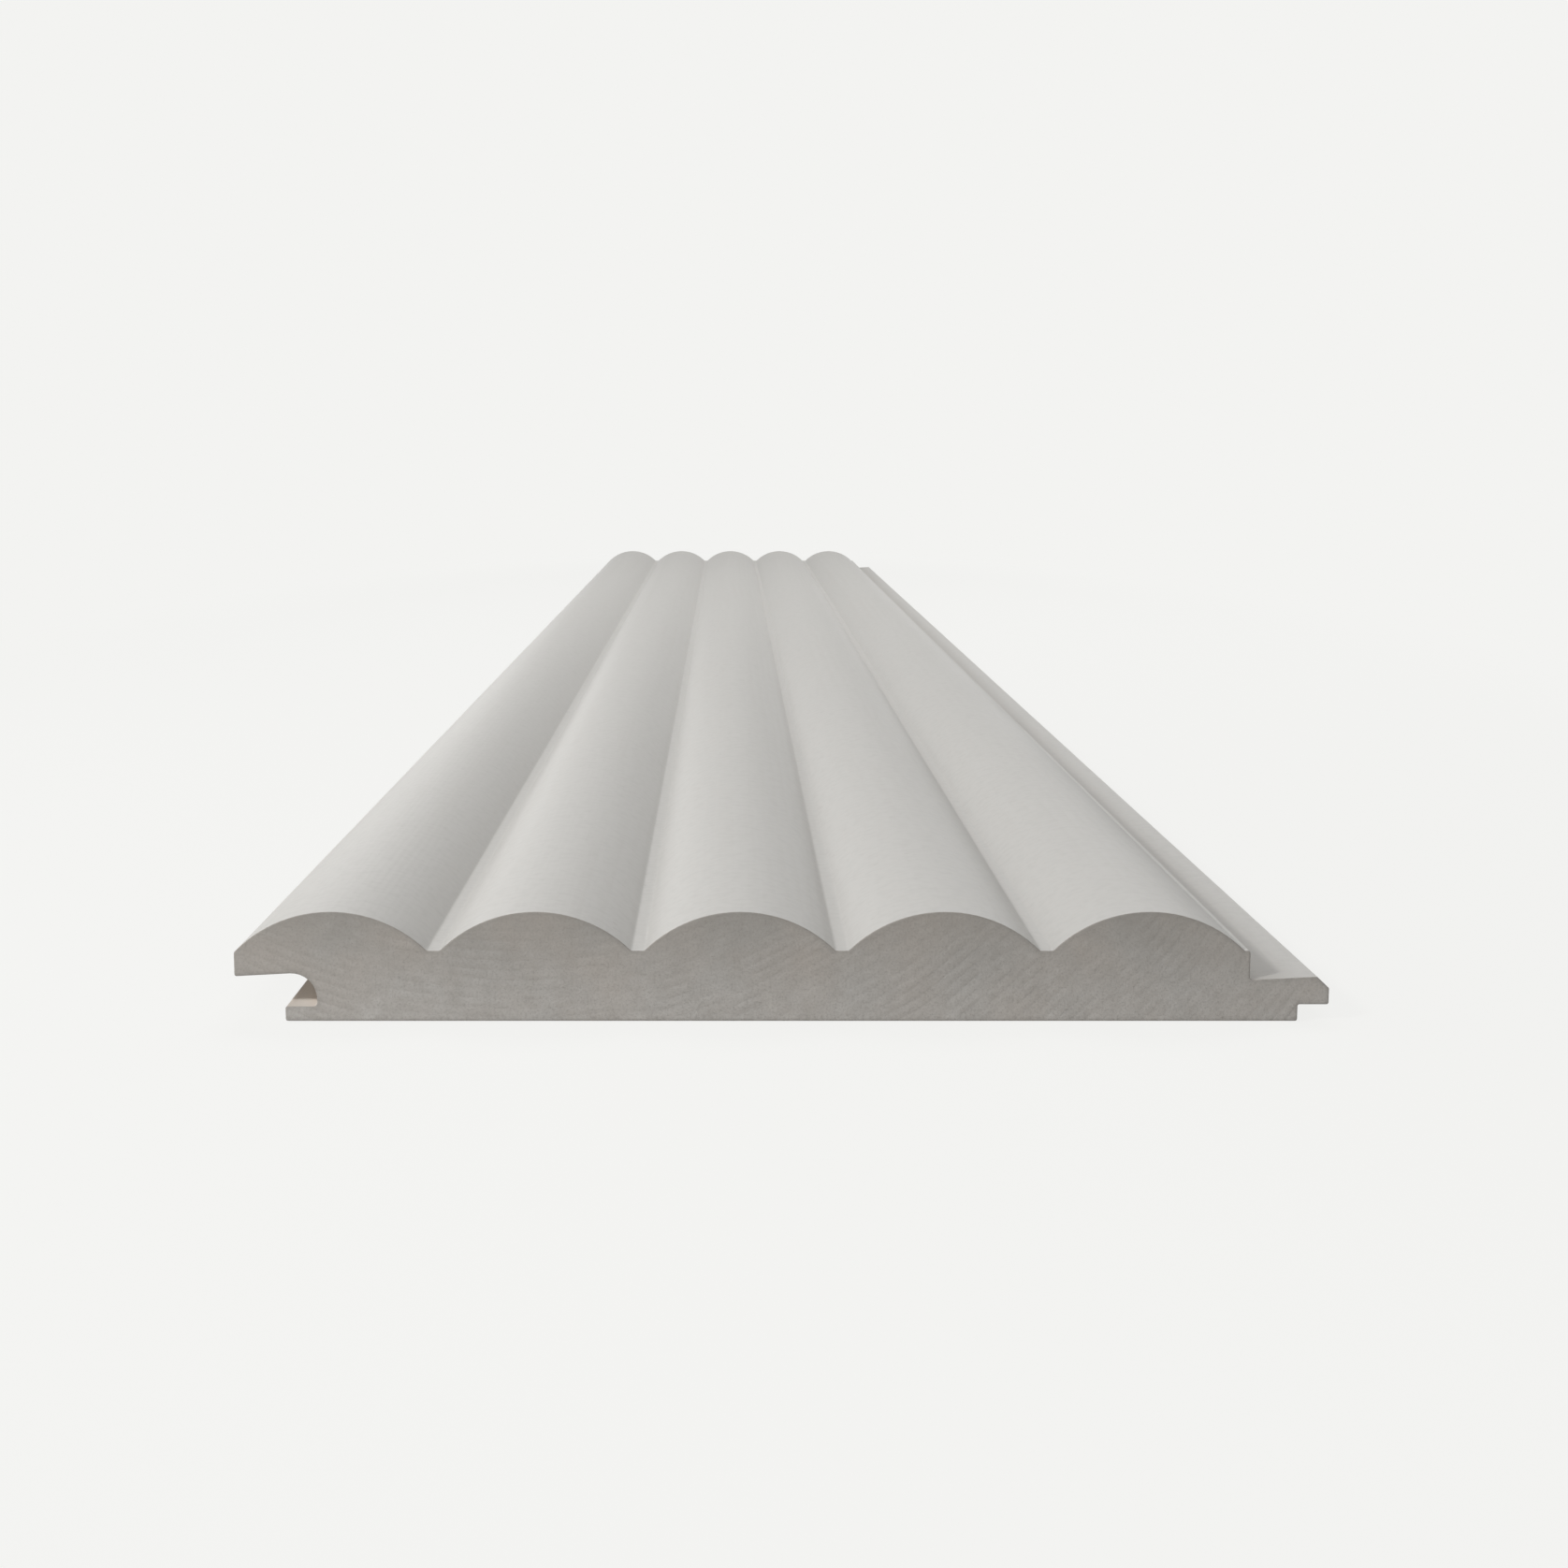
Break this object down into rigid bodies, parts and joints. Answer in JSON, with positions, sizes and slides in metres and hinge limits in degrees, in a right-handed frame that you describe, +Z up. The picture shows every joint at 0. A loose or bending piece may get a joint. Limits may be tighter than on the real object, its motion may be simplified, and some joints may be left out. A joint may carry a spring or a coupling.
{
  "type": "reeded wall panel",
  "caption": "Length of primed wood wall panelling: round reeds along the face, a groove under a long lip on one edge, a bevelled tongue on the other and a flat back.",
  "frame": {"origin": "in the flat back face, at the middle of the overall width and length, so the board lies on z = 0", "axes": "+X across the board from the grooved edge to the tongued edge, +Y along the board, +Z up from the back face to the reeds"},
  "size_m": [0.177, 1.2, 0.018],
  "materials": {
    "primed_wood": "matte sprayed primer, pale warm grey, thinner and darker on the sawn ends"
  },
  "bodies": {
    "root": {"reeded_board": "primed_wood"}
  },
  "joints": []
}
